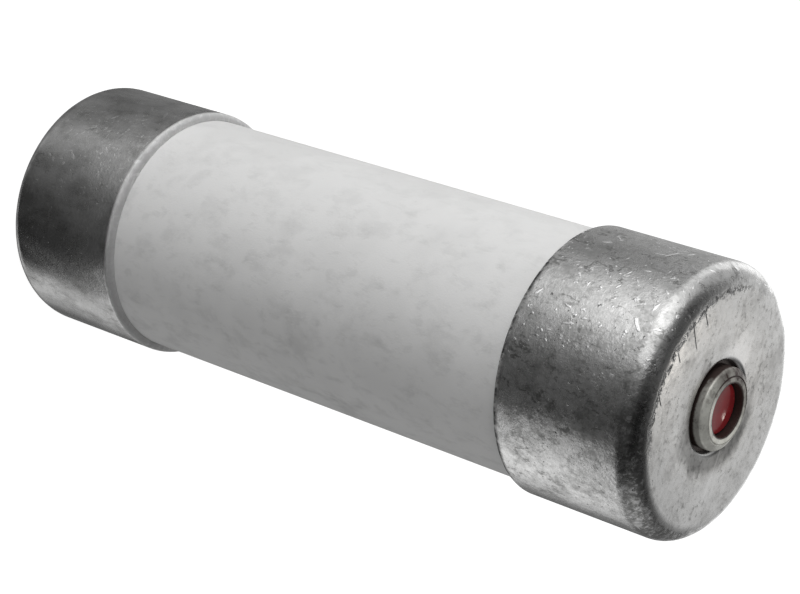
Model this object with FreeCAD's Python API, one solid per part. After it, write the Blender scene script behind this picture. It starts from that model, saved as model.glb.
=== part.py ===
import FreeCAD
import Part
import math
import os

# Indicator cartridge fuse: a white ceramic tube with a drawn metal cap pressed on each end,
# filled with quartz sand. A notched copper strip carries the current from cap to cap. A fine
# wire beside it holds a red button down against a spring, and lets it go when the fuse blows.
# Millimetres. The fuse stands on its plain end: the origin is the middle of that face, the
# tube's axis is +Z, and the indicator looks up.

Vector = FreeCAD.Vector
AXIS_FOOT = Vector(0, 0, 0)
UP = Vector(0, 0, 1)

# Driving sizes of the whole fuse
body_length = 31.5
cap_radius = 5.15
cap_length = 6.1
cap_wall = 0.28
cap_corner = 0.85
cap_inner_corner = 0.36
cap_rim_break = 0.16

# Clearances and fits
press_gap = 0.01
assembly_gap = 0.02
running_gap = 0.04
sand_gap = 0.05
contact_edge_gap = 0.05

# Ceramic tube and the rings that its ends press on
contact_thickness = 0.4
washer_thickness = 0.3
tube_radius = cap_radius - cap_wall - assembly_gap
tube_wall = 1.45
tube_bore = tube_radius - tube_wall
tube_end_chamfer = 0.3
tube_foot = cap_wall + contact_thickness + washer_thickness
tube_head = body_length - tube_foot
contact_radius = cap_radius - cap_wall - cap_inner_corner - contact_edge_gap
washer_radius = cap_radius - cap_wall - cap_inner_corner

# Levels of the two inner contact faces, where the copper strip stands
plain_floor = cap_wall
plain_contact_face = plain_floor + contact_thickness
indicator_floor = body_length - cap_wall
indicator_contact_face = indicator_floor - contact_thickness

# Copper strip with rows of notches
strip_width = 2.0
strip_thickness = 0.15
strip_wall_gap = 0.05
strip_foot_reach = math.sqrt((tube_bore - strip_wall_gap) ** 2 - (strip_width / 2) ** 2)
strip_bend = 0.1
notch_radius = 0.3
notch_rows = 3
notch_spacing = 6.6
notch_tin_gap = 0.2
tin_height = 1.5
tin_thickness = 0.3
tin_edge = 0.12
tin_foot = body_length / 2 - tin_height
dab_radius = 0.25
dab_edge_gap = 0.01
dab_height = 0.14

# Indicator sleeve, the turned housing of the red button
sleeve_protrusion = 0.42
sleeve_front_radius = 1.54
sleeve_front_slope = 0.14
sleeve_front_bore = 1.0
sleeve_body_radius = 1.65
sleeve_strip_gap = 0.225
sleeve_bore = 1.33
sleeve_flange_radius = 2.4
sleeve_flange_thickness = 0.25
sleeve_length = 5.45
sleeve_crimp_height = 0.2
sleeve_crimp_bore = 1.15
sleeve_rear_break = 0.12
sleeve_front = body_length + sleeve_protrusion
sleeve_lip_underside = indicator_floor - assembly_gap
sleeve_rear = sleeve_front - sleeve_length
strip_offset = sleeve_body_radius + sleeve_strip_gap + strip_thickness / 2
dab_centre = strip_foot_reach - dab_edge_gap - dab_radius
cap_hole_radius = 1.7
cap_hole_break = 0.1

# Plunger, red button and the travel that the lip allows
travel = 1.8
travel_end_gap = 0.05
button_recess = 0.3
button_radius = sleeve_front_bore - running_gap
button_break = 0.1
spigot_radius = 0.5
spigot_length = 1.4
shoulder_radius = sleeve_bore - running_gap
shoulder_thickness = 0.5
stem_radius = 0.35
plunger_break = 0.06
stem_foot = sleeve_rear - travel
shoulder_top = sleeve_lip_underside - travel - travel_end_gap
shoulder_underside = shoulder_top - shoulder_thickness
button_front = sleeve_front - button_recess

# Guide disc crimped into the sleeve's rear, and the spring that stands on it
base_thickness = 0.5
base_underside = sleeve_rear + sleeve_crimp_height
base_top = base_underside + base_thickness
spring_wire_radius = 0.11
spring_mean_radius = 0.85
spring_turns = 4.5
spring_wire_sides = 6
spring_sections_per_turn = 16

# Restraining wire on the axis, and its two solder joints
wire_radius = 0.1
anchor_radius = 0.55
anchor_height = 0.35
bead_radius = 0.3
bead_height = 0.3
bead_top = stem_foot - assembly_gap
wire_head = bead_top - bead_height / 2

# Quartz sand in the tube
sand_foot = plain_contact_face + anchor_height + sand_gap
sand_head = indicator_contact_face - strip_thickness - dab_height - sand_gap
sand_radius = tube_bore - sand_gap


def save(shape, node):
    """Write the one solid of a piece as its own STEP file."""
    solid = shape.Solids[0]
    solid.exportStep("parts/" + node + ".step")
    print(node, len(shape.Solids), "solid", round(solid.Volume, 4), "valid", solid.isValid())


def outline(corners):
    """A closed outline in the XZ plane. Each corner is (x, z), (x, z, rounding) for an arc
    or (x, z, size, "chamfer") for an edge that is broken with a small flat."""
    bends = []
    for index, (x, z, *finish) in enumerate(corners):
        here = Vector(x, 0, z)
        if not finish:
            bends.append((here, None, here))
            continue
        before = corners[index - 1]
        after = corners[(index + 1) % len(corners)]
        back = (Vector(before[0], 0, before[1]) - here).normalize()
        ahead = (Vector(after[0], 0, after[1]) - here).normalize()
        if finish[-1] == "chamfer":
            bends.append((here + back * finish[0], None, here + ahead * finish[0]))
            continue
        half_angle = back.getAngle(ahead) / 2
        setback = finish[0] / math.tan(half_angle)
        inward = (back + ahead).normalize()
        middle = here + inward * (finish[0] / math.sin(half_angle) - finish[0])
        bends.append((here + back * setback, middle, here + ahead * setback))
    edges = []
    for index, (start, middle, end) in enumerate(bends):
        if middle is not None:
            edges.append(Part.Arc(start, middle, end).toShape())
        elif start != end:
            edges.append(Part.LineSegment(start, end).toShape())
        next_start = bends[(index + 1) % len(bends)][0]
        if end.distanceToPoint(next_start) > 1e-6:
            edges.append(Part.LineSegment(end, next_start).toShape())
    return Part.Wire(edges)


def turned(corners):
    """A solid turned about the Z axis from an outline, whose x is the radius."""
    return Part.Face(outline(corners)).revolve(AXIS_FOOT, UP, 360)


def ring(inner, outer, foot, head):
    """A plain flat ring."""
    return turned([(inner, foot), (outer, foot), (outer, head), (inner, head)])


def dome(radius, height, centre, up):
    """A low drop of solder with a flat underside, on a face whose outside is up or down."""
    ball_radius = (radius ** 2 + height ** 2) / (2 * height)
    ball = Part.makeSphere(ball_radius, Vector(0, 0, height - ball_radius))
    drop = ball.common(Part.makeCylinder(radius, height))
    if not up:
        drop.rotate(AXIS_FOOT, Vector(1, 0, 0), 180)
    drop.translate(centre)
    return drop


def bead(top):
    """A small barrel of solder with broken edges, on the axis."""
    foot = top - bead_height
    edge = bead_height / 3
    return turned([
        (0, foot),
        (bead_radius, foot, edge, "chamfer"),
        (bead_radius, top, edge, "chamfer"),
        (0, top),
    ])


# Ceramic tube: extruded and fired, its ends ground flat and their edges broken
def make_ceramic_tube():
    return turned([
        (tube_bore, tube_foot),
        (tube_radius, tube_foot, tube_end_chamfer, "chamfer"),
        (tube_radius, tube_head, tube_end_chamfer, "chamfer"),
        (tube_bore, tube_head),
    ])


# Caps: cups drawn from sheet, the one at the indicator end with a hole for the sleeve
def make_plain_end_cap():
    inner_radius = cap_radius - cap_wall
    return turned([
        (0, 0),
        (cap_radius, 0, cap_corner),
        (cap_radius, cap_length, cap_rim_break, "chamfer"),
        (inner_radius, cap_length),
        (inner_radius, cap_wall, cap_inner_corner, "chamfer"),
        (0, cap_wall),
    ])


def make_indicator_end_cap():
    inner_radius = cap_radius - cap_wall
    rim = body_length - cap_length
    return turned([
        (cap_hole_radius, body_length, cap_hole_break, "chamfer"),
        (cap_radius, body_length, cap_corner),
        (cap_radius, rim, cap_rim_break, "chamfer"),
        (inner_radius, rim),
        (inner_radius, indicator_floor, cap_inner_corner, "chamfer"),
        (cap_hole_radius, indicator_floor),
    ])


# Contact plates under the cap floors: a plain disc, and a ring sunk to take the sleeve's flange
def make_plain_contact_disc():
    return Part.makeCylinder(contact_radius, contact_thickness, Vector(0, 0, plain_floor))


def make_indicator_contact_ring():
    hole = sleeve_body_radius + sand_gap
    seat = sleeve_flange_radius + sand_gap
    seat_face = indicator_floor - sleeve_flange_thickness
    return turned([
        (hole, indicator_contact_face),
        (contact_radius, indicator_contact_face),
        (contact_radius, indicator_floor),
        (seat, indicator_floor),
        (seat, seat_face),
        (hole, seat_face),
    ])


# Fibre washers between the contact plates and the tube's ends, which keep the sand in
def make_plain_seal_washer():
    return ring(tube_bore, washer_radius, plain_contact_face, tube_foot)


def make_indicator_seal_washer():
    return ring(tube_bore, washer_radius, tube_head, indicator_contact_face)


# Copper strip: punched, with a foot bent outward at each end
def make_fuse_element():
    inner = strip_offset - strip_thickness / 2
    outer = strip_offset + strip_thickness / 2
    foot = plain_contact_face
    head = indicator_contact_face
    outer_bend = strip_bend + strip_thickness
    side = outline([
        (strip_foot_reach, foot),
        (inner, foot, outer_bend),
        (inner, head, outer_bend),
        (strip_foot_reach, head),
        (strip_foot_reach, head - strip_thickness),
        (outer, head - strip_thickness, strip_bend),
        (outer, foot + strip_thickness, strip_bend),
        (strip_foot_reach, foot + strip_thickness),
    ])
    strip = Part.Face(side).extrude(Vector(0, strip_width, 0))
    strip.translate(Vector(0, -strip_width / 2, 0))
    punches = []
    punch_length = 3 * strip_thickness
    middle_height = tin_foot + tin_height + notch_radius + notch_tin_gap
    for row in range(notch_rows):
        row_height = middle_height + (row - (notch_rows - 1) / 2) * notch_spacing
        for across in (-strip_width / 2, 0, strip_width / 2):
            start = Vector(inner - strip_thickness, across, row_height)
            punches.append(Part.makeCylinder(notch_radius, punch_length, start, Vector(1, 0, 0)))
    return strip.cut(Part.makeCompound(punches))


# Tin bar laid across the strip, below the middle notches
def make_element_tin_spot():
    inner = strip_offset + strip_thickness / 2
    outer = inner + tin_thickness
    side = outline([
        (inner, tin_foot),
        (outer, tin_foot, tin_edge),
        (outer, tin_foot + tin_height, tin_edge),
        (inner, tin_foot + tin_height),
    ])
    bar = Part.Face(side).extrude(Vector(0, strip_width, 0))
    bar.translate(Vector(0, -strip_width / 2, 0))
    return bar


# Solder drops that hold the strip's feet to the contact plates
def make_plain_solder_dab():
    return dome(dab_radius, dab_height, Vector(dab_centre, 0, plain_contact_face + strip_thickness), True)


def make_indicator_solder_dab():
    return dome(dab_radius, dab_height, Vector(dab_centre, 0, indicator_contact_face - strip_thickness), False)


# Indicator sleeve: turned, with a flange under the cap floor, a lip with a sloping front round
# the button and a thin rear edge crimped in behind the guide disc
def make_indicator_sleeve():
    flange_face = indicator_floor - sleeve_flange_thickness
    return turned([
        (sleeve_front_bore, sleeve_front),
        (sleeve_front_radius, sleeve_front - sleeve_front_slope),
        (sleeve_front_radius, indicator_floor),
        (sleeve_flange_radius, indicator_floor),
        (sleeve_flange_radius, flange_face),
        (sleeve_body_radius, flange_face),
        (sleeve_body_radius, sleeve_rear, sleeve_rear_break, "chamfer"),
        (sleeve_crimp_bore, sleeve_rear),
        (sleeve_crimp_bore, base_underside),
        (sleeve_bore, base_underside),
        (sleeve_bore, sleeve_lip_underside),
        (sleeve_front_bore, sleeve_lip_underside),
    ])


# Guide disc: the spring stands on it and the plunger's stem slides through it
def make_sleeve_base():
    return ring(stem_radius + running_gap, sleeve_bore - press_gap, base_underside, base_top)


# Spring: wound wire, held short between the guide disc and the plunger's shoulder. Its wire is
# lofted through small six-sided sections, square to the helix
def make_plunger_spring():
    coil_foot = base_top + spring_wire_radius + assembly_gap
    coil_head = shoulder_underside - spring_wire_radius - assembly_gap
    pitch = (coil_head - coil_foot) / spring_turns
    steps = round(spring_turns * spring_sections_per_turn)
    sections = []
    for step in range(steps + 1):
        turns_done = spring_turns * step / steps
        angle = 2 * math.pi * turns_done
        outward = Vector(math.cos(angle), math.sin(angle), 0)
        along = Vector(-outward.y, outward.x, pitch / (2 * math.pi * spring_mean_radius)).normalize()
        upward = outward.cross(along)
        centre = outward * spring_mean_radius + UP * (coil_foot + pitch * turns_done)
        corners = []
        for corner in range(spring_wire_sides + 1):
            turn = 2 * math.pi * (corner + 0.5) / spring_wire_sides
            reach = outward * math.cos(turn) + upward * math.sin(turn)
            corners.append(centre + reach * spring_wire_radius)
        sections.append(Part.makePolygon(corners))
    return Part.makeLoft(sections, True, True)


# Plunger: turned, with a stem, a shoulder that the spring pushes on and a spigot for the button
def make_indicator_plunger():
    return turned([
        (0, stem_foot),
        (stem_radius, stem_foot, plunger_break, "chamfer"),
        (stem_radius, shoulder_underside),
        (shoulder_radius, shoulder_underside),
        (shoulder_radius, shoulder_top),
        (spigot_radius, shoulder_top),
        (spigot_radius, shoulder_top + spigot_length, plunger_break, "chamfer"),
        (0, shoulder_top + spigot_length),
    ])


# Red button: moulded, pushed on the plunger's spigot
def make_indicator_button():
    socket_radius = spigot_radius + press_gap
    socket_head = shoulder_top + spigot_length + assembly_gap
    return turned([
        (socket_radius, shoulder_top),
        (button_radius, shoulder_top),
        (button_radius, button_front, button_break, "chamfer"),
        (0, button_front),
        (0, socket_head),
        (socket_radius, socket_head),
    ])


# Restraining wire: fine resistance wire from the plain end's contact disc to the plunger
def make_restraining_wire():
    return Part.makeCylinder(wire_radius, wire_head - plain_contact_face, Vector(0, 0, plain_contact_face))


def make_wire_anchor_solder():
    drop = dome(anchor_radius, anchor_height, Vector(0, 0, plain_contact_face), True)
    return drop.cut(Part.makeCylinder(wire_radius + press_gap, body_length))


def make_wire_release_solder():
    channel = Part.makeCylinder(wire_radius + press_gap, wire_head + press_gap)
    return bead(bead_top).cut(channel)


# Quartz sand: fills the tube and leaves narrow channels round what stands in it
def make_quartz_sand():
    sand = Part.makeCylinder(sand_radius, sand_head - sand_foot, Vector(0, 0, sand_foot))
    slot_thickness = strip_thickness + 2 * sand_gap
    slot = Part.makeBox(slot_thickness, strip_width + 2 * sand_gap, body_length)
    slot.translate(Vector(strip_offset - slot_thickness / 2, -strip_width / 2 - sand_gap, 0))
    tin_room = Part.makeBox(tin_thickness + sand_gap, strip_width + 2 * sand_gap, tin_height + 2 * sand_gap)
    tin_room.translate(Vector(strip_offset + strip_thickness / 2, -strip_width / 2 - sand_gap, tin_foot - sand_gap))
    wire_room = Part.makeCylinder(wire_radius + sand_gap, body_length)
    stem_room_foot = bead_top - bead_height - sand_gap
    stem_room = Part.makeCylinder(stem_radius + 2 * sand_gap, body_length, Vector(0, 0, stem_room_foot))
    sleeve_room = Part.makeCylinder(sleeve_body_radius + sand_gap, body_length,
                                    Vector(0, 0, sleeve_rear - sand_gap))
    for room in (slot, tin_room, wire_room, stem_room, sleeve_room):
        sand = sand.cut(room)
    return sand


pieces = {
    "ceramic_tube": make_ceramic_tube,
    "plain_end_cap": make_plain_end_cap,
    "indicator_end_cap": make_indicator_end_cap,
    "plain_contact_disc": make_plain_contact_disc,
    "indicator_contact_ring": make_indicator_contact_ring,
    "plain_seal_washer": make_plain_seal_washer,
    "indicator_seal_washer": make_indicator_seal_washer,
    "quartz_sand": make_quartz_sand,
    "fuse_element": make_fuse_element,
    "element_tin_spot": make_element_tin_spot,
    "plain_solder_dab": make_plain_solder_dab,
    "indicator_solder_dab": make_indicator_solder_dab,
    "indicator_sleeve": make_indicator_sleeve,
    "sleeve_base": make_sleeve_base,
    "plunger_spring": make_plunger_spring,
    "indicator_plunger": make_indicator_plunger,
    "indicator_button": make_indicator_button,
    "restraining_wire": make_restraining_wire,
    "wire_anchor_solder": make_wire_anchor_solder,
    "wire_release_solder": make_wire_release_solder,
}

os.makedirs("parts", exist_ok=True)
for node, make_piece in pieces.items():
    save(make_piece(), node)
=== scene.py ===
import math

import bmesh
import bpy
from mathutils import Matrix, Vector


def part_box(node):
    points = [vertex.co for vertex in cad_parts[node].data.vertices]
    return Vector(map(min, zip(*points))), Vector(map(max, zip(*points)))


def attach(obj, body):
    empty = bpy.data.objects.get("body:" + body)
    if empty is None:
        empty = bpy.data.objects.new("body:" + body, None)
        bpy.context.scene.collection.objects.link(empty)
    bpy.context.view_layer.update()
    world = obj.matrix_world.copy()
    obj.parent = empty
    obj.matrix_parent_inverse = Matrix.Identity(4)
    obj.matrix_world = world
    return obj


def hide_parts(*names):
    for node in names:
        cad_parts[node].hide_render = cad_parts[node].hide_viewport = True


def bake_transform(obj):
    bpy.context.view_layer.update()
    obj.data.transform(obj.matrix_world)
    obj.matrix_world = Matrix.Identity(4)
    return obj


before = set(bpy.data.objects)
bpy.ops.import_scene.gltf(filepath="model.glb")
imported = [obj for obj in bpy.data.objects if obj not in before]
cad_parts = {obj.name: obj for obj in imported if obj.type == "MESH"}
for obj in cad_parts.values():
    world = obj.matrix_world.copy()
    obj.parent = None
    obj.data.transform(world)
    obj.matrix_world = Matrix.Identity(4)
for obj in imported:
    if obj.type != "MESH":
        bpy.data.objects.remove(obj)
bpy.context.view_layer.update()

mm = 0.001

# The camera stands beside the indicator end of the fuse and is rolled by about 108 degrees, so
# that the standing fuse lies across the picture as it does in the photograph. Place, turn and
# lens were fitted to the outline, the cap rims and the flat end.
camera_place = Vector((0.0, -71.20, 68.29)) * mm
camera_right = Vector((-0.31600, 0.55456, 0.76981))
camera_up = Vector((-0.94876, -0.18640, -0.25517))
focal_pixels = 2256
picture_width = 800
sensor_width = 36


def add_object(name, data):
    """A new object in the scene."""
    made = bpy.data.objects.new(name, data)
    bpy.context.scene.collection.objects.link(made)
    return made


camera_data = bpy.data.cameras.new("photo_camera")
camera_data.sensor_width = sensor_width
camera_data.lens = focal_pixels * sensor_width / picture_width
camera_data.clip_start = 1 * mm
camera_data.clip_end = 10
camera = add_object("photo_camera", camera_data)
camera_axes = Matrix((camera_right, camera_up, camera_right.cross(camera_up))).transposed()
camera.matrix_world = Matrix.Translation(camera_place) @ camera_axes.to_4x4()
bpy.context.scene.camera = camera
bpy.context.scene.view_settings.view_transform = "Standard"


# The studio: a white floor under the plain end, a broad soft lamp to the side that is the top of
# the picture, a small one for the glint on the red button, and soft grey surroundings. The class
# below holds one socket of a node tree, so that sums on shader values are written as sums.
class Wire:
    def __init__(self, tree, socket=None):
        self.tree = tree
        self.socket = socket

    def node(self, kind, settings=None, inputs=None, output=0):
        """Adds a node: its settings first, a ramp's stops among them, then values or wires."""
        made = self.tree.nodes.new(kind)
        for name, value in (settings or {}).items():
            if name != "stops":
                setattr(made, name, value)
                continue
            for index, (place, level) in enumerate(value):
                stops = made.color_ramp.elements
                stop = stops[index] if index < 2 else stops.new(place)
                stop.position = place
                stop.color = (level, level, level, 1)
        for name, value in (inputs or {}).items():
            if isinstance(value, Wire):
                self.tree.links.new(value.socket, made.inputs[name])
            else:
                made.inputs[name].default_value = value
        return Wire(self.tree, made.outputs[output] if made.outputs else None)

    def beside(self, output):
        """Another output of the node that this wire comes from."""
        return Wire(self.tree, self.socket.node.outputs[output])

    def maths(self, operation, first, second=0.0):
        return self.node("ShaderNodeMath", {"operation": operation}, {0: first, 1: second})

    def __add__(self, other):
        return self.maths("ADD", self, other)

    def __radd__(self, other):
        return self.maths("ADD", other, self)

    def __sub__(self, other):
        return self.maths("SUBTRACT", self, other)

    def __rsub__(self, other):
        return self.maths("SUBTRACT", other, self)

    def __mul__(self, other):
        return self.maths("MULTIPLY", self, other)

    def __rmul__(self, other):
        return self.maths("MULTIPLY", other, self)

    def __truediv__(self, other):
        return self.maths("DIVIDE", self, other)

    def __rtruediv__(self, other):
        return self.maths("DIVIDE", other, self)

    def greatest(self, other):
        return self.maths("MAXIMUM", self, other)

    def absolute(self):
        return self.maths("ABSOLUTE", self)

    def between(self, low, high):
        """0 below low, 1 above high and a smooth rise between them; falls if low is above high."""
        return self.node("ShaderNodeMapRange", {"interpolation_type": "SMOOTHSTEP"},
                         {"Value": self, "From Min": low, "From Max": high})

    def along(self, direction):
        """How far a vector reaches in a direction."""
        return self.node("ShaderNodeVectorMath", {"operation": "DOT_PRODUCT"},
                         {0: self, 1: direction}, "Value")

    def times(self, factors):
        """A vector with each of its parts times a factor."""
        return self.node("ShaderNodeVectorMath", {"operation": "MULTIPLY"}, {0: self, 1: factors})

    def blend(self, low, high):
        """A colour between low and high, by this value."""
        low, high = [value if isinstance(value, Wire) else (*value, 1) for value in (low, high)]
        return self.node("ShaderNodeMix", {"data_type": "RGBA"}, {0: self, 6: low, 7: high}, 2)


def start_nodes(owner):
    """Empties the node tree of a world or a material, for its first wire."""
    owner.use_nodes = True
    owner.node_tree.nodes.clear()
    return Wire(owner.node_tree)


# Directions seen from the fuse: the lamp's side, the side a quarter turn on from it, and the
# side that is the bottom of the picture.
lamp_side = Vector((-0.869, -0.494, 0.0))
lamp_front = Vector((0.494, -0.869, 0.0))
table_side = Vector((0.949, 0.186, 0.255))
upward = Vector((0, 0, 1))

# What the metal mirrors: brightness by degrees round the axis from the lamp's side. The near
# cap's rounding mirrors side_levels, with strip_levels added about the horizon, and its flat end
# mirrors them dimmed. Its barrel mirrors low_levels, and the far cap's barrel foot_levels.
side_levels = [
    (-180, 0.42), (-166, 0.30), (-150, 0.10), (-138, 0.32), (-126, 0.74), (-108, 0.97),
    (-88, 0.58), (-60, 0.56), (-32, 0.46), (-12, 1.15), (5, 1.60), (27, 1.60), (41, 0.95),
    (54, 0.34), (68, 0.13), (92, 0.05), (138, 0.04), (150, 0.20), (162, 0.42), (180, 0.42)]
low_levels = [
    (-180, 1.06), (-165, 0.74), (-150, 0.16), (-132, 0.14), (-112, 0.50), (-70, 0.39),
    (-38, 0.25), (-17, 0.55), (4, 1.02), (18, 0.88), (36, 0.50), (54, 0.23), (75, 0.14),
    (104, 0.11), (116, 0.12), (123, 0.72), (145, 0.94), (165, 1.14), (180, 1.06)]
foot_levels = [
    (-180, 0.60), (-166, 0.40), (-150, 0.10), (-110, 0.22), (-60, 0.19), (-25, 0.26), (5, 0.41),
    (20, 0.30), (38, 0.18), (60, 0.10), (100, 0.05), (136, 0.03), (150, 0.05), (158, 0.58),
    (170, 0.72), (180, 0.60)]
strip_levels = [
    (-140, 0.0), (-120, 0.85), (-60, 0.75), (-30, 0.30), (0, 0.35), (30, 0.30), (50, 0.0)]

# Heights, from -1 straight down to 1 straight up, between which one gives way to the next
foot_to_low = (-0.67, -0.57)
low_to_side = (-0.48, -0.36)
strip_rise = (-0.42, -0.26)
strip_fall = (0.14, -0.04)
overhead = (0.42, 0.75)
overhead_dimming = 0.85
ambient_level = 0.34
ambient_lamp_side = 0.14
ambient_table_side = 0.22
table_side_spread = (0.35, 1.0)

world = bpy.data.worlds.new("surroundings")
bpy.context.scene.world = world
sky = start_nodes(world)
gaze = sky.node("ShaderNodeTexCoord", output="Generated")
turn = sky.maths("ARCTAN2", gaze.along(lamp_front), gaze.along(lamp_side)) / math.tau + 0.5
side, low, foot, strip = [
    turn.node("ShaderNodeValToRGB",
              {"stops": [(degrees / 360 + 0.5, level) for degrees, level in levels]}, {"Fac": turn})
    for levels in (side_levels, low_levels, foot_levels, strip_levels)]
height = gaze.along(upward)
around = foot + (low - foot) * height.between(*foot_to_low)
around = around + (side - around) * height.between(*low_to_side)
around = around + strip * height.between(*strip_rise) * height.between(*strip_fall)
mirrored = around * (1 - overhead_dimming * height.between(*overhead))
ambient = ambient_level + ambient_lamp_side * gaze.along(lamp_side)
ambient = ambient + ambient_table_side * gaze.along(table_side).between(*table_side_spread)
camera_ray = sky.node("ShaderNodeLightPath", output="Is Camera Ray")
glossy_ray = camera_ray.beside("Is Glossy Ray")
level = glossy_ray * mirrored + (1 - glossy_ray) * ambient
level = camera_ray + (1 - camera_ray) * level
background = level.node("ShaderNodeBackground", inputs={"Color": (1, 1, 1, 1), "Strength": level})
background.node("ShaderNodeOutputWorld", inputs={"Surface": background})


def add_lamp(name, shape, size, watts, colour, place, aim):
    """An area lamp that stands at a place and shines on its aim."""
    data = bpy.data.lights.new(name, "AREA")
    data.shape = shape
    data.size = size
    data.energy = watts
    data.color = colour
    made = add_object(name, data)
    made.location = place
    made.rotation_euler = (aim - place).to_track_quat("-Z", "Y").to_euler()
    return made


lamp_size = 90 * mm
lamp_distance = 170 * mm
lamp_lift = 0.12
lamp_watts = 0.17
lamp_aim = Vector((0, 0, 16 * mm))
lamp_place = lamp_aim + (lamp_side + lamp_lift * upward).normalized() * lamp_distance
soft_lamp = add_lamp("soft_lamp", "SQUARE", lamp_size, lamp_watts, (1, 1, 1), lamp_place, lamp_aim)
soft_lamp.visible_glossy = False

glint_size = 3 * mm
glint_distance = 120 * mm
glint_watts = 0.0012
glint_colour = (1.0, 0.93, 0.84)
glint_direction = Vector((-0.04, 0.79, 0.60))
glint_aim = Vector((0, 0, 31.6 * mm))
glint_place = glint_aim + glint_direction * glint_distance
add_lamp("glint_lamp", "DISK", glint_size, glint_watts, glint_colour, glint_place, glint_aim)

floor_half = 0.6
floor_grey = (0.5, 0.5, 0.5, 1)
floor_glow = 0.9
floor_corners = [(x * floor_half, y * floor_half, 0) for x, y in ((-1, -1), (1, -1), (1, 1), (-1, 1))]
floor_mesh = bpy.data.meshes.new("studio_floor")
floor_mesh.from_pydata(floor_corners, [], [(0, 1, 2, 3)])
floor = add_object("studio_floor", floor_mesh)
floor_paint = bpy.data.materials.new("studio_white")
paint = start_nodes(floor_paint)
seen = paint.node("ShaderNodeLightPath", output="Is Camera Ray")
matt = paint.node("ShaderNodeBsdfDiffuse", inputs={"Color": floor_grey})
glow = paint.node("ShaderNodeEmission", inputs={"Color": (1, 1, 1, 1), "Strength": seen * floor_glow})
both = paint.node("ShaderNodeAddShader", inputs={0: matt, 1: glow})
both.node("ShaderNodeOutputMaterial", inputs={"Surface": both})
floor_mesh.materials.append(floor_paint)
floor.visible_glossy = False


# The ceramic tube: dry-pressed and fired, unglazed and off-white, with a faint mottle of handling
# dirt. It is held by the two caps. Turned pieces are made by one tree of geometry nodes, which
# swings an outline round the axis, closes seam and poles, and ripples the wall very slightly.
tube_low, tube_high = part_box("ceramic_tube")
tube_foot, tube_head = tube_low.z / mm, tube_high.z / mm
tube_radius = tube_high.x / mm
tube_bore = 3.4
tube_end_round = 0.3
tube_bore_round = 0.15
merge_distance = 0.0005
sharp_angle = math.radians(32)


def turning_outline(corners, arc_steps=10):
    """Points (radius, height) along a closed outline in millimetres; a third figure is a rounding."""
    points = []
    for index, (radius, height, *rounding) in enumerate(corners):
        here = Vector((radius, height))
        if not rounding:
            points.append(here)
            continue
        back = (Vector(corners[index - 1][:2]) - here).normalized()
        ahead = (Vector(corners[(index + 1) % len(corners)][:2]) - here).normalized()
        half_angle = back.angle(ahead) / 2
        centre = here + (back + ahead).normalized() * rounding[0] / math.sin(half_angle)
        start = here + back * rounding[0] / math.tan(half_angle)
        end = here + ahead * rounding[0] / math.tan(half_angle)
        sweep = (start - centre).angle_signed(end - centre)
        for step in range(arc_steps + 1):
            spoke = (start - centre).copy()
            spoke.rotate(Matrix.Rotation(-sweep * step / arc_steps, 2))
            points.append(centre + spoke)
    return points


def start_tree(name, sockets):
    """A new tree of geometry nodes, and a wire from each of its named inputs."""
    tree = bpy.data.node_groups.new(name, "GeometryNodeTree")
    for socket, kind in sockets.items():
        tree.interface.new_socket(socket, in_out="INPUT", socket_type="NodeSocket" + kind)
    tree.interface.new_socket("Piece", in_out="OUTPUT", socket_type="NodeSocketGeometry")
    start = tree.nodes.new("NodeGroupInput")
    return tree, {socket: Wire(tree, start.outputs[socket]) for socket in sockets}


def end_tree(piece, finish):
    """Realizes what a tree has made, gives it its material and hands it out."""
    whole = piece.node("GeometryNodeRealizeInstances", inputs={"Geometry": piece})
    finished = whole.node("GeometryNodeSetMaterial", inputs={"Geometry": whole, "Material": finish})
    finished.node("NodeGroupOutput", inputs={"Piece": finished})


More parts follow.
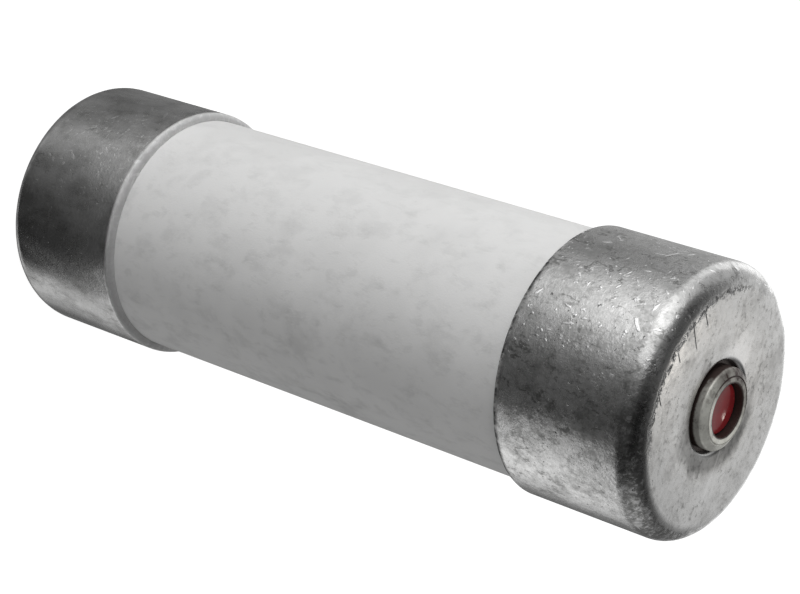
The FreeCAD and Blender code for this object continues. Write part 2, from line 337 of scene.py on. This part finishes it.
def make_turning_tree():
    tree, given = start_tree("turn_on_axis", {
        "Outline": "Geometry", "Steps around": "Int", "Ripple depth": "Float",
        "Ripple size": "Float", "Sharp angle": "Float", "Finish": "Material"})
    outline = given["Outline"]
    count = outline.node("GeometryNodeAttributeDomainSize", inputs={"Geometry": outline})
    columns = given["Steps around"] + 1
    sheet = columns.node("GeometryNodeMeshGrid", inputs={
        "Size X": 1.0, "Size Y": 1.0, "Vertices X": columns, "Vertices Y": count})
    position = sheet.node("GeometryNodeInputPosition")
    sheet_x = position.node("ShaderNodeSeparateXYZ", inputs={0: position})
    angle = (sheet_x + 0.5) * math.tau
    row = sheet.maths("ROUND", (sheet_x.beside("Y") + 0.5) * (count - 1))
    outline_point = row.node("GeometryNodeSampleIndex", {"data_type": "FLOAT_VECTOR"},
                             {"Geometry": outline, "Value": position, "Index": row})
    radius = outline_point.node("ShaderNodeSeparateXYZ", inputs={0: outline_point})
    swung = sheet.node("ShaderNodeCombineXYZ", inputs={
        0: radius * sheet.maths("COSINE", angle), 1: radius * sheet.maths("SINE", angle),
        2: radius.beside("Z")})
    shell = sheet.node("GeometryNodeSetPosition", inputs={"Geometry": sheet, "Position": swung})
    closed = shell.node("GeometryNodeMergeByDistance",
                        inputs={"Geometry": shell, "Distance": merge_distance * mm})
    wave = closed.node("ShaderNodeTexNoise", inputs={"Scale": 1 / given["Ripple size"], "Detail": 1.0})
    sunk = (1 - wave) * given["Ripple depth"] * -1
    push = closed.node("ShaderNodeVectorMath", {"operation": "SCALE"},
                       {0: closed.node("GeometryNodeInputNormal"), "Scale": sunk})
    rippled = closed.node("GeometryNodeSetPosition", inputs={"Geometry": closed, "Offset": push})
    smooth = rippled.node("GeometryNodeSetShadeSmooth", {"domain": "FACE"},
                          {"Geometry": rippled, "Shade Smooth": True})
    crease = smooth.maths("GREATER_THAN", smooth.node("GeometryNodeInputMeshEdgeAngle"),
                          given["Sharp angle"])
    edged = smooth.node("GeometryNodeSetShadeSmooth", {"domain": "EDGE"},
                        {"Geometry": smooth, "Selection": crease, "Shade Smooth": False})
    end_tree(edged, given["Finish"])
    return tree


turning_tree = make_turning_tree()


def plain_mesh(piece, tree, sizes, finish):
    """Runs a tree of geometry nodes on a piece, keeps the result as its plain mesh, faces outward."""
    modifier = piece.modifiers.new(tree.name, "NODES")
    modifier.node_group = tree
    for socket in tree.interface.items_tree:
        if socket.in_out == "INPUT" and socket.name in sizes:
            modifier[socket.identifier] = sizes[socket.name]
    depsgraph = bpy.context.evaluated_depsgraph_get()
    mesh = bpy.data.meshes.new_from_object(piece.evaluated_get(depsgraph), depsgraph=depsgraph)
    piece.modifiers.remove(modifier)
    mesh.name = piece.name
    work = bmesh.new()
    work.from_mesh(mesh)
    bmesh.ops.recalc_face_normals(work, faces=work.faces)
    work.to_mesh(mesh)
    work.free()
    piece.data = mesh
    mesh.materials.clear()
    mesh.materials.append(finish)
    return piece


def turned_piece(name, corners, finish, steps=192, ripple=0.0, ripple_size=3.0, closed_bore=True):
    """A piece turned about the fuse's axis from a closed outline of (radius, height, rounding)."""
    points = turning_outline(corners)
    if closed_bore:
        points.append(points[0])
    line = bpy.data.meshes.new(name)
    line.from_pydata([(point.x * mm, 0, point.y * mm) for point in points],
                     [(index, index + 1) for index in range(len(points) - 1)], [])
    sizes = {"Steps around": steps, "Ripple depth": ripple * mm, "Ripple size": ripple_size * mm,
             "Sharp angle": sharp_angle, "Finish": finish}
    return plain_mesh(add_object(name, line), turning_tree, sizes, finish)


def start_finish(name):
    """A new material, its first wire and the place on the piece in millimetres."""
    material = bpy.data.materials.new(name)
    recipe = start_nodes(material)
    place = recipe.node("ShaderNodeTexCoord", output="Object")
    place = place.node("ShaderNodeVectorMath", {"operation": "SCALE"}, {0: place, "Scale": 1 / mm})
    return material, recipe, place


def end_finish(recipe, inputs, relief, relief_mm):
    """Closes a material with the usual shader, and a bump of the given height in millimetres."""
    inputs["Normal"] = relief.node("ShaderNodeBump", inputs={
        "Height": relief, "Strength": 1.0, "Distance": relief_mm * mm})
    surface = recipe.node("ShaderNodeBsdfPrincipled", inputs=inputs)
    surface.node("ShaderNodeOutputMaterial", inputs={"Surface": surface})


def noise(place, per_mm, detail=2.0, roughness=0.5, stretch=None, distortion=0.0):
    """Cloudy noise, 0 to 1, with so many clouds to the millimetre; stretch scales x, y and z first."""
    if stretch:
        place = place.times(stretch)
    return place.node("ShaderNodeTexNoise", inputs={
        "Vector": place, "Scale": per_mm, "Detail": detail, "Roughness": roughness,
        "Distortion": distortion})


# The side of the fuse that has been handled most, which is the lower one in the picture
handled_side = (0.80, -0.60, 0.0)
clean_ceramic = (0.82, 0.82, 0.815)
dirty_ceramic = (0.54, 0.54, 0.535)


def make_ceramic_finish():
    material, recipe, place = start_finish("unglazed_ceramic")
    handled = place.along(handled_side).between(-4.0, 4.0)
    wisp = noise(place, 0.75, 6.0, 0.64, (1.1, 1.1, 0.8), 0.25).between(0.48, 0.68)
    smudge = noise(place, 1.9, 4.0, 0.62, (1.0, 1.0, 0.6), 0.2).between(0.52, 0.70)
    patch = noise(place, 0.35, 3.0, 0.55).between(0.45, 0.62)
    speck = noise(place, 6.0, 2.0, 0.6).between(0.71, 0.76)
    grain = noise(place, 14.0, 3.0, 0.6)
    dirt = (wisp * 0.32 + smudge * 0.26) * (0.28 + 0.72 * handled) + patch * 0.12 + speck * 0.20
    colour = dirt.blend(clean_ceramic, dirty_ceramic)
    end_finish(recipe, {"Base Color": colour, "Roughness": 0.62 + 0.12 * wisp, "IOR": 1.45,
                        "Specular IOR Level": 0.30}, grain * 0.5 + smudge * 0.3, 0.012)
    return material


ceramic_body = turned_piece("ceramic_body", [
    (tube_bore, tube_foot, tube_bore_round),
    (tube_radius, tube_foot, tube_end_round),
    (tube_radius, tube_head, tube_end_round),
    (tube_bore, tube_head, tube_bore_round),
], make_ceramic_finish(), ripple=0.012, ripple_size=4.0)
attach(ceramic_body, "fuse_body")
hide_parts("ceramic_tube")


# The two end caps: cups drawn from plated sheet and pressed on the tube. The one at the indicator
# end has a hole with a soft edge, through which the sleeve stands. Handling has left nicks, flecks,
# scratches and dull patches on it. Shade, with some dirt, is painted along its rim; a painted shadow
# and a painted highlight lie on its flat end beside the sleeve; and the plain cap's rim is painted
# lighter, a painted highlight.
cap_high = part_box("plain_end_cap")[1]
cap_radius = cap_high.x / mm
cap_length = cap_high.z / mm
body_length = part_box("indicator_end_cap")[1].z / mm
cap_wall = 0.28
cap_corner = 0.85
cap_rim_round = 0.26
cap_ripple = 0.015
press_gap = 0.004
inner_radius = tube_radius + press_gap
cap_rim = body_length - cap_length
cap_floor = body_length - cap_wall
cap_hole_radius = 1.7
cap_hole_round = 0.20

# Where the marks are that the photograph shows one by one, from the middle of the flat end
deep_scratches = [((-3.01, -3.14), (-2.48, -2.53)), ((-2.60, -3.80), (-1.51, -2.69)),
                  ((0.10, -4.50), (0.62, -3.90)), ((-1.35, -4.01), (-1.00, -3.62))]
deep_scratch_width = 0.035
# The middle of a painted highlight, a lighter patch on the flat end beside the sleeve
sheen_place = (-2.0, 0.2, body_length)
end_flat_radius = 4.3

# Colours of the plate. The tarnished one and the black one also carry painted shade, and the bared one
# painted highlights.
clean_plate = (0.74, 0.74, 0.735)
tarnished_plate_and_shade = (0.28, 0.28, 0.275)
bared_plate_and_highlight = (0.92, 0.92, 0.92)
black_dirt_and_shade = (0.05, 0.05, 0.05)


def from_axis(place):
    """How far a place is from the fuse's axis."""
    across = place.times((1, 1, 0))
    return across.node("ShaderNodeVectorMath", {"operation": "LENGTH"}, {0: across}, "Value")


def scratch(place, start, end, width):
    """1 in the middle of a straight scratch on the flat end, seen along the axis, and 0 beside it."""
    start, end = Vector((*start, 0)), Vector((*end, 0))
    along = (end - start).normalized()
    across = along.cross(upward)
    middle = (start + end) / 2
    length = (end - start).length
    run = (place.along(along) - middle.dot(along)).absolute()
    beside = (place.along(across) - middle.dot(across)).absolute()
    return run.between(length * 0.50, length * 0.25) * beside.between(width, width * 0.3)


def strokes(place, direction, low, high):
    """Short straight marks, 0 to 1, that lie along a direction on the lamp's side of the barrel."""
    along = direction.normalized()
    run = place.node("ShaderNodeCombineXYZ", inputs={
        0: place.along(along) * 0.28, 1: place.along(lamp_side.cross(along)),
        2: place.along(lamp_side)})
    return noise(run, 3.4, 1.0).between(low, high)


def make_cap_finish(name, wear):
    """Plated sheet. Wear is how much of the marks handling has left, from 0 to 1."""
    material, recipe, place = start_finish(name)
    height = place.along(upward)
    radius = from_axis(place)
    from_middle = (height - body_length / 2).absolute()
    end_face = from_middle.between(body_length / 2 - 0.08, body_length / 2 - 0.02)
    indicator_face = height.between(body_length - 0.04, body_length - 0.02)
    barrel = 1 - end_face
    rim_height = body_length / 2 - cap_length
    rim = from_middle.between(rim_height + 0.34, rim_height + 0.14)

    # Tarnish: broad clouds, blotches, grime and the fine lines of drawing and turning
    cloud = noise(place, 0.5, 4.0, 0.62)
    blotch = noise(place, 1.1, 6.0, 0.74, (1.0, 1.0, 0.7)).between(0.40, 0.70)
    grime_and_shade = noise(place, 4.0, 4.0, 0.75).between(0.50, 0.66) * wear
    grime_and_shade = grime_and_shade * (0.35 + 0.65 * noise(place, 0.9, 3.0, 0.6).between(0.46, 0.62))
    drawn = noise(place, 3.0, 3.0, 0.6, (1.0, 1.0, 0.05)).between(0.55, 0.68) * barrel
    turned_ring = radius.node("ShaderNodeCombineXYZ", inputs={0: radius, 2: cloud * 0.15})
    turned_mark = noise(turned_ring, 5.0, 2.0) * end_face
    crease = (noise(place, 0.8, 6.0, 0.60, (1.0, 1.0, 0.5)) - 0.52).absolute().between(0.020, 0.003)
    crease = crease * wear * barrel * noise(place, 1.6, 4.0, 0.7).between(0.48, 0.60)
    handled = place.along(handled_side).between(1.0, 4.0)
    smear = noise(place, 2.0, 6.0, 0.75, (1.0, 1.0, 0.35)).between(0.56, 0.68) * wear * barrel
    smear = smear * (1 - 0.65 * handled)
    soiled = handled * barrel * noise(place, 2.6, 5.0, 0.75).between(0.44, 0.62) * wear
    milky = noise(place, 0.8, 3.0, 0.5, (1.0, 1.0, 0.7)).between(0.40, 0.60) * (1 - wear)

    # Worn spots: flecks and strokes on the lamp's side, and a mottled lower rounding
    worn_zone = noise(place, 0.8, 3.0, 0.6).between(0.48, 0.60)
    fleck = noise(place, 5.5, 2.0, 0.5, (1.0, 1.0, 0.8)).between(0.62, 0.68) * worn_zone * wear
    for direction, low, high in ((lamp_front + upward, 0.72, 0.77),
                                 (lamp_front * 0.3 - upward, 0.71, 0.76),
                                 (lamp_front - upward * 0.4, 0.715, 0.765)):
        fleck = fleck.greatest(strokes(place, direction, low, high) * wear)
    fleck = fleck * (0.1 + 0.9 * place.along(lamp_side).between(1.0, 3.8)) * barrel
    hairline = noise(place, 4.0, 2.0, 0.5, (0.06, 1.0, 1.0)).between(0.63, 0.69)
    mottle = noise(place, 4.5, 4.0, 0.75)
    corner = from_middle.between(body_length / 2 - 1.0, body_length / 2 - 0.6) * barrel
    corner = corner * place.along((0.90, -0.44, 0.0)).between(2.2, 4.0) * wear

    # Black marks: pits, deep scratches, the bruised edge of the flat end; painted shade with some dirt
    # along the rim, a painted shadow beside the sleeve; and a painted highlight on the flat end
    wander = noise(place, 1.6, 3.0, 0.6) * 0.5 - 0.25
    wandering = radius + wander
    pit = noise(place, 6.0, 3.0, 0.6).between(0.67, 0.73) * wear * (1 - 0.6 * end_face)
    bruised = wandering.between(end_flat_radius - 0.16, end_flat_radius - 0.02) * end_face
    bruised = bruised * wandering.between(end_flat_radius + 0.20, end_flat_radius + 0.04)
    bruised = bruised * noise(place, 6.0, 4.0, 0.75).between(0.44, 0.60)
    gouge = bruised * place.along((-0.45, -0.89, 0.0)).between(1.6, 3.4)
    for start, end in deep_scratches:
        gouge = gouge.greatest(scratch(place, start, end, deep_scratch_width) * indicator_face)
    # Painted shade along the rim, where the cap meets the tube, broken up with some dirt
    rim_dirt_and_shade = rim * wear * noise(place, 3.0, 4.0, 0.7).between(0.40, 0.58)
    # A painted shadow: a dark crescent on the flat end round the sleeve's hole, on one side of it
    painted_boss_shade = indicator_face * wandering.between(2.75, 2.15)
    painted_boss_shade = painted_boss_shade * place.along((0.90, 0.4, 0.0)).between(-1.2, 2.0)
    # A painted highlight: a lighter patch on the flat end beside the sleeve
    to_sheen = place.node("ShaderNodeVectorMath", {"operation": "DISTANCE"},
                        {0: place, 1: sheen_place}, "Value")
    painted_sheen_patch = (to_sheen + wander).between(1.3, 0.2) * indicator_face

    dull = cloud * 0.34 + blotch * 0.50 * (1 - 0.5 * end_face) + grime_and_shade * 0.48 + drawn * 0.06
    dull = dull + soiled * 0.28 + turned_mark * 0.30 + painted_boss_shade * 0.42 + crease * 0.70
    dull = dull + smear * 0.40 + milky * 0.45 + corner * mottle.between(0.55, 0.42) * 0.5
    dull = dull - painted_sheen_patch * 0.25
    dark = (gouge * 0.85).greatest(pit * 0.75).greatest(rim_dirt_and_shade * 0.9)
    dark = dark.greatest(painted_boss_shade * (0.30 + 0.3 * cloud))
    # The rim is painted lighter where wear is low, most on the plain cap: a painted highlight. So is
    # the patch on the flat end.
    bright = fleck * 0.85 + hairline * 0.12 + rim * (1 - wear) * 1.3 + painted_sheen_patch * 0.34
    bright = bright + corner * mottle.between(0.53, 0.63) * 0.9
    colour = dark.blend(dull.blend(clean_plate, tarnished_plate_and_shade), black_dirt_and_shade)
    colour = bright.blend(colour, bared_plate_and_highlight)
    rough = 0.12 + 0.05 * wear + 0.10 * cloud + 0.12 * blotch + 0.08 * grime_and_shade + 0.25 * dark
    rough = rough + (0.65 - 0.3 * wear) * rim
    relief = noise(place, 7.0, 4.0, 0.65) * (0.75 - 0.55 * end_face) * (0.2 + 0.8 * wear)
    relief = relief - dark * 0.9 + fleck * 0.5 + cloud * 0.8
    end_finish(recipe, {"Base Color": colour, "Metallic": 1.0, "Roughness": rough}, relief, 0.014)
    return material


plain_cap_shell = turned_piece("plain_cap_shell", [
    (0, 0),
    (cap_radius, 0, cap_corner),
    (cap_radius, cap_length, cap_rim_round),
    (inner_radius, cap_length),
    (inner_radius, cap_wall, cap_corner - cap_wall),
    (0, cap_wall),
], make_cap_finish("drawn_plated_plain_cap", 0.35), ripple=cap_ripple, closed_bore=False)
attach(plain_cap_shell, "fuse_body")
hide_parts("plain_end_cap")

indicator_cap_shell = turned_piece("indicator_cap_shell", [
    (cap_hole_radius, body_length, cap_hole_round),
    (cap_radius, body_length, cap_corner),
    (cap_radius, cap_rim, cap_rim_round),
    (inner_radius, cap_rim),
    (inner_radius, cap_floor, cap_corner - cap_wall),
    (cap_hole_radius, cap_floor),
], make_cap_finish("drawn_plated_cap", 1.0), ripple=cap_ripple)
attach(indicator_cap_shell, "fuse_body")
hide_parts("indicator_end_cap")


# The indicator's sleeve: turned from bar, with a flange under the cap's floor and a lip in front
# that slopes outward, and its rear edge crimped over the guide disc. It is clouded with tarnish, and
# shade is painted on it: where it stands down in the moat between it and the cap, in its bore, on
# its side wall and on the side that is up in the picture.
sleeve_low, sleeve_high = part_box("indicator_sleeve")
sleeve_front = sleeve_high.z / mm
sleeve_rear = sleeve_low.z / mm
sleeve_flange_radius = sleeve_high.x / mm
sleeve_flange_thickness = 0.25
sleeve_assembly_gap = 0.02
sleeve_front_radius = 1.54
sleeve_front_slope = 0.14
sleeve_front_bore = 1.0
sleeve_mouth_drop = 0.01
sleeve_mouth_round = 0.03
sleeve_edge_round = 0.12
sleeve_body_radius = 1.65
sleeve_bore = 1.33
sleeve_crimp_bore = 1.15
sleeve_crimp_height = 0.2
lip_line_radius = 1.25
lip_line_width = 0.04
lip_line_depth = 0.035
lip_outer_drop = 0.02
sleeve_lip_underside = cap_floor - sleeve_assembly_gap
sleeve_flange_face = cap_floor - sleeve_flange_thickness
sleeve_crimp_top = sleeve_rear + sleeve_crimp_height
sleeve_shoulder = sleeve_front - sleeve_front_slope - lip_outer_drop
# The sleeve's colours; the dark one serves for tarnish and for painted shade
sleeve_metal = (0.90, 0.90, 0.83)
sleeve_tarnish_and_shade = (0.065, 0.045, 0.04)


def make_sleeve_finish():
    material, recipe, place = start_finish("turned_sleeve")
    height = place.along(upward)
    radius = from_axis(place)
    cloud = noise(place, 1.6, 4.0, 0.6)
    blotch = noise(place, 3.5, 4.0, 0.7).between(0.52, 0.66)
    # Painted shade: darker where the sleeve stands down in the moat below the cap's face, in its bore,
    # and on the side that is up in the picture
    grime_and_shade = height.between(body_length + 0.03, body_length - 0.12)
    painted_bore_shade = radius.between(sleeve_front_bore + 0.08, sleeve_front_bore + 0.02)
    shaded = place.along((-0.95, 0.20, 0.0)).between(-0.4, 1.4)
    # A dark line in the lip's groove: dirt, with painted shade, strongest on the shaded side
    lip_line = radius.between(lip_line_radius - 0.04, lip_line_radius - 0.01)
    lip_line = lip_line * radius.between(lip_line_radius + 0.05, lip_line_radius + 0.02)
    lip_line = lip_line * (0.3 + 0.7 * shaded)
    # Painted shade on the side wall
    painted_wall_shade = height.between(sleeve_front - 0.18, sleeve_front - 0.26)
    dull = cloud.between(0.35, 0.70) * 0.30 + blotch * 0.26 + grime_and_shade * 0.9 + painted_bore_shade
    dull = dull + shaded * (0.42 + 0.6 * cloud) + lip_line * 0.6 + painted_wall_shade * 0.32
    colour = dull.blend(sleeve_metal, sleeve_tarnish_and_shade)
    relief = noise(place, 8.0, 3.0, 0.6) * 0.6 + cloud
    end_finish(recipe, {"Base Color": colour, "Metallic": 0.45, "Roughness": 0.34 + 0.2 * cloud},
               relief, 0.016)
    return material


sleeve_turned = turned_piece("sleeve_turned", [
    (sleeve_front_bore, sleeve_front - sleeve_mouth_drop, sleeve_mouth_round),
    (lip_line_radius - lip_line_width, sleeve_front),
    (lip_line_radius, sleeve_front - lip_line_depth),
    (lip_line_radius + lip_line_width, sleeve_front - lip_outer_drop),
    (sleeve_front_radius, sleeve_shoulder, sleeve_edge_round),
    (sleeve_front_radius, cap_floor),
    (sleeve_flange_radius, cap_floor),
    (sleeve_flange_radius, sleeve_flange_face),
    (sleeve_body_radius, sleeve_flange_face),
    (sleeve_body_radius, sleeve_rear, sleeve_edge_round),
    (sleeve_crimp_bore, sleeve_rear),
    (sleeve_crimp_bore, sleeve_crimp_top),
    (sleeve_bore, sleeve_crimp_top),
    (sleeve_bore, sleeve_lip_underside),
    (sleeve_front_bore, sleeve_lip_underside),
], make_sleeve_finish(), steps=160, ripple=0.006, ripple_size=1.0)
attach(sleeve_turned, "fuse_body")
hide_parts("indicator_sleeve")


# The red button: moulded in glossy plastic with a slightly dished front, and pressed on the
# plunger's spigot. It is what shows in the sleeve, and what comes out when the fuse has blown.
button_low, button_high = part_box("indicator_button")
button_radius = button_high.x / mm
button_front = button_high.z / mm
button_foot = button_low.z / mm
button_dish = 0.07
button_dish_steps = 8
button_edge = 0.05
button_foot_edge = 0.03
button_socket_radius = 0.51
button_socket_depth = 1.42
button_socket_top = button_foot + button_socket_depth
dish_radius = button_radius - button_edge * 1.4
fresh_red = (0.37, 0.026, 0.032)
faded_red = (0.27, 0.024, 0.028)
scuffed_red = (0.55, 0.16, 0.12)


def make_button_finish():
    material, recipe, place = start_finish("red_button_plastic")
    cloud = noise(place, 1.4, 3.0, 0.6).between(0.35, 0.70)
    scuff = noise(place, 6.0, 3.0, 0.6).between(0.58, 0.70)
    colour = (scuff * 0.15).blend(cloud.blend(fresh_red, faded_red), scuffed_red)
    end_finish(recipe, {"Base Color": colour, "Roughness": 0.115 + 0.08 * scuff, "IOR": 1.5,
                        "Specular IOR Level": 0.18}, noise(place, 3.0, 3.0, 0.6), 0.003)
    return material


dish = []
for step in range(button_dish_steps, -1, -1):
    share = step / button_dish_steps
    dish.append((dish_radius * share, button_front - button_dish * (1 - share ** 2)))
button_red = turned_piece("button_red", [
    (button_socket_radius, button_foot),
    (button_radius, button_foot, button_foot_edge),
    (button_radius, button_front, button_edge),
    *dish,
    (0, button_socket_top),
    (button_socket_radius, button_socket_top),
], make_button_finish(), steps=128)
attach(button_red, "indicator")
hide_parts("indicator_button")


# The plunger: turned from steel bar, with a stem that the wire holds, a shoulder on which the
# spring pushes and the spigot that carries the button. It and the pieces below, all but the
# spring, keep their CAD shapes, and none of them shows at rest.
def make_metal_finish(name, light, dull, roughness, lines=(1.0, 1.0, 1.0), relief_mm=0.006):
    """Satin metal with cloudy tarnish; lines stretches the fine marks along a direction."""
    material, recipe, place = start_finish(name)
    cloud = noise(place, 1.5, 4.0, 0.6).between(0.35, 0.70)
    marks = noise(place, 9.0, 3.0, 0.6, lines)
    colour = (cloud * 0.6 + marks * 0.4).blend(light, dull)
    end_finish(recipe, {"Base Color": colour, "Metallic": 1.0, "Roughness": roughness + 0.15 * cloud},
               marks, relief_mm)
    return material


def dress(finish, *nodes):
    """Gives solids that keep their CAD shape their finish."""
    for node in nodes:
        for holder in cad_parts[node].material_slots:
            holder.material = finish


dress(make_metal_finish("turned_plunger", (0.66, 0.65, 0.62), (0.40, 0.39, 0.37), 0.26,
                        (0.3, 0.3, 3.0)), "indicator_plunger")


# The guide disc: punched from sheet, with a hole for the plunger's stem, and held by the crimped
# rear edge of the sleeve. The spring stands on it.
dress(make_metal_finish("punched_guide_disc", (0.62, 0.61, 0.58), (0.38, 0.37, 0.35), 0.32),
      "sleeve_base")


# The two contact plates: punched from tinned sheet and clamped between a cap's floor and a seal
# washer. The one at the indicator end is a ring, which leaves room for the sleeve.
dress(make_metal_finish("tinned_contact_plate", (0.76, 0.76, 0.74), (0.50, 0.50, 0.48), 0.28,
                        (2.0, 0.2, 1.0)), "plain_contact_disc", "indicator_contact_ring")


# The fuse element: a strip of rolled copper, with three rows of punched notches where it melts
# first, and a foot bent outward at each end that is soldered to a contact plate.
dress(make_metal_finish("rolled_copper", (0.86, 0.48, 0.34), (0.50, 0.24, 0.16), 0.24,
                        (1.0, 3.0, 0.1)), "fuse_element")


# The tin bar across the strip and the drops of solder: soft tin that has set with a dull, uneven
# skin. The drops hold the strip's feet and the two ends of the restraining wire.
dress(make_metal_finish("soft_tin", (0.78, 0.78, 0.76), (0.52, 0.52, 0.50), 0.36, relief_mm=0.03),
      "element_tin_spot", "plain_solder_dab", "indicator_solder_dab", "wire_anchor_solder",
      "wire_release_solder")


# The restraining wire: fine resistance wire, drawn hard and bright. It runs on the axis from the
# plain end's plate to the plunger, and holds the plunger down until it melts.
dress(make_metal_finish("drawn_resistance_wire", (0.56, 0.55, 0.52), (0.36, 0.35, 0.33), 0.22,
                        (2.0, 2.0, 0.1)), "restraining_wire")


# The two seal washers: punched from pressed fibre board, tan, with short fibres on their faces.
# They are clamped between a contact plate and the tube's end, and keep the sand in.
pale_fibre = (0.66, 0.56, 0.40)
dark_fibre = (0.46, 0.36, 0.23)


def make_fibre_finish():
    material, recipe, place = start_finish("pressed_fibre")
    fibres = noise(place, 4.0, 5.0, 0.7, (0.4, 1.6, 1.0), 1.0)
    cross = noise(place, 4.0, 5.0, 0.7, (1.6, 0.4, 1.0), 1.0)
    colour = (fibres * 0.5 + cross * 0.5).between(0.38, 0.64).blend(dark_fibre, pale_fibre)
    end_finish(recipe, {"Base Color": colour, "Roughness": 0.80 + 0.10 * fibres}, fibres + cross, 0.02)
    return material


dress(make_fibre_finish(), "plain_seal_washer", "indicator_seal_washer")


# The quartz sand: washed round grains of about a quarter of a millimetre, poured in and shaken
# down until they lie tight round the copper strip and the wire.
grains_per_mm = 4.0
dark_grain = (0.52, 0.45, 0.34)
pale_grain = (0.86, 0.82, 0.74)
# Painted shade in the gaps between the grains
shade_between_grains = (0.24, 0.20, 0.15)


def make_sand_finish():
    material, recipe, place = start_finish("quartz_sand_grains")
    grain = place.node("ShaderNodeTexVoronoi", {"feature": "F1"},
                       {"Vector": place, "Scale": grains_per_mm}, "Distance")
    tone = grain.beside("Color").along((0.4, 0.3, 0.3))
    colour = grain.between(0.38, 0.62).blend(tone.blend(dark_grain, pale_grain), shade_between_grains)
    end_finish(recipe, {"Base Color": colour, "Roughness": 0.34 + 0.3 * tone}, 1 - grain, 0.10)
    return material


dress(make_sand_finish(), "quartz_sand")


# The plunger's spring: wound from hard-drawn steel wire with a closed turn at each end. It stands
# on the guide disc and pushes on the plunger's shoulder, so the real one opens when the plunger is
# let go; here it is wound as it stands at rest.
spring_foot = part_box("sleeve_base")[1].z / mm
spring_shoulder_gap = 0.02
spring_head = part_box("plunger_spring")[1].z / mm + spring_shoulder_gap
spring_wire_radius = 0.105
spring_mean_radius = 0.85
spring_turns = 4.5
spring_closed_turns = 1.0
spring_end_gap = 0.02
spring_steps_per_turn = 32
spring_section_steps = 14


def make_coil_tree():
    tree, given = start_tree("wind_spring", {
        "Wire radius": "Float", "Mean radius": "Float", "Foot": "Float", "Head": "Float",
        "Turns": "Float", "Closed turns": "Float", "Steps per turn": "Int", "Finish": "Material"})
    turns, closed, steps = given["Turns"], given["Closed turns"], given["Steps per turn"]
    mean, wire = given["Mean radius"], given["Wire radius"]
    line = turns.node("GeometryNodeMeshLine", inputs={"Count": turns * steps + 1})
    done = line.node("GeometryNodeInputIndex") / steps
    thickness = wire * 2
    open_turns = turns - closed * 2
    open_pitch = (given["Head"] - given["Foot"] - thickness - thickness * closed * 2) / open_turns
    opened = done.maths("MINIMUM", done.maths("MAXIMUM", done - closed, 0.0), open_turns)
    rise = given["Foot"] + wire + (done - opened) * thickness + opened * open_pitch
    angle = done * math.tau
    coiled = line.node("ShaderNodeCombineXYZ", inputs={
        0: mean * line.maths("COSINE", angle), 1: mean * line.maths("SINE", angle), 2: rise})
    wound = line.node("GeometryNodeSetPosition", inputs={"Geometry": line, "Position": coiled})
    curve = wound.node("GeometryNodeMeshToCurve", inputs={"Mesh": wound})
    section = curve.node("GeometryNodeCurvePrimitiveCircle", {"mode": "RADIUS"},
                         {"Resolution": spring_section_steps, "Radius": wire})
    coil = curve.node("GeometryNodeCurveToMesh",
                      inputs={"Curve": curve, "Profile Curve": section, "Fill Caps": True})
    end_tree(coil, given["Finish"])
    return tree


spring_finish = make_metal_finish("hard_drawn_steel", (0.58, 0.58, 0.58), (0.34, 0.34, 0.35), 0.24)
spring_coil = add_object("spring_coil", bpy.data.meshes.new("spring_coil"))
plain_mesh(spring_coil, make_coil_tree(), {
    "Wire radius": spring_wire_radius * mm, "Mean radius": spring_mean_radius * mm,
    "Foot": (spring_foot + spring_end_gap) * mm, "Head": (spring_head - spring_end_gap) * mm,
    "Turns": spring_turns, "Closed turns": spring_closed_turns,
    "Steps per turn": spring_steps_per_turn, "Finish": spring_finish}, spring_finish)
for face in spring_coil.data.polygons:
    face.use_smooth = True
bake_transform(spring_coil)
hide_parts("plunger_spring")
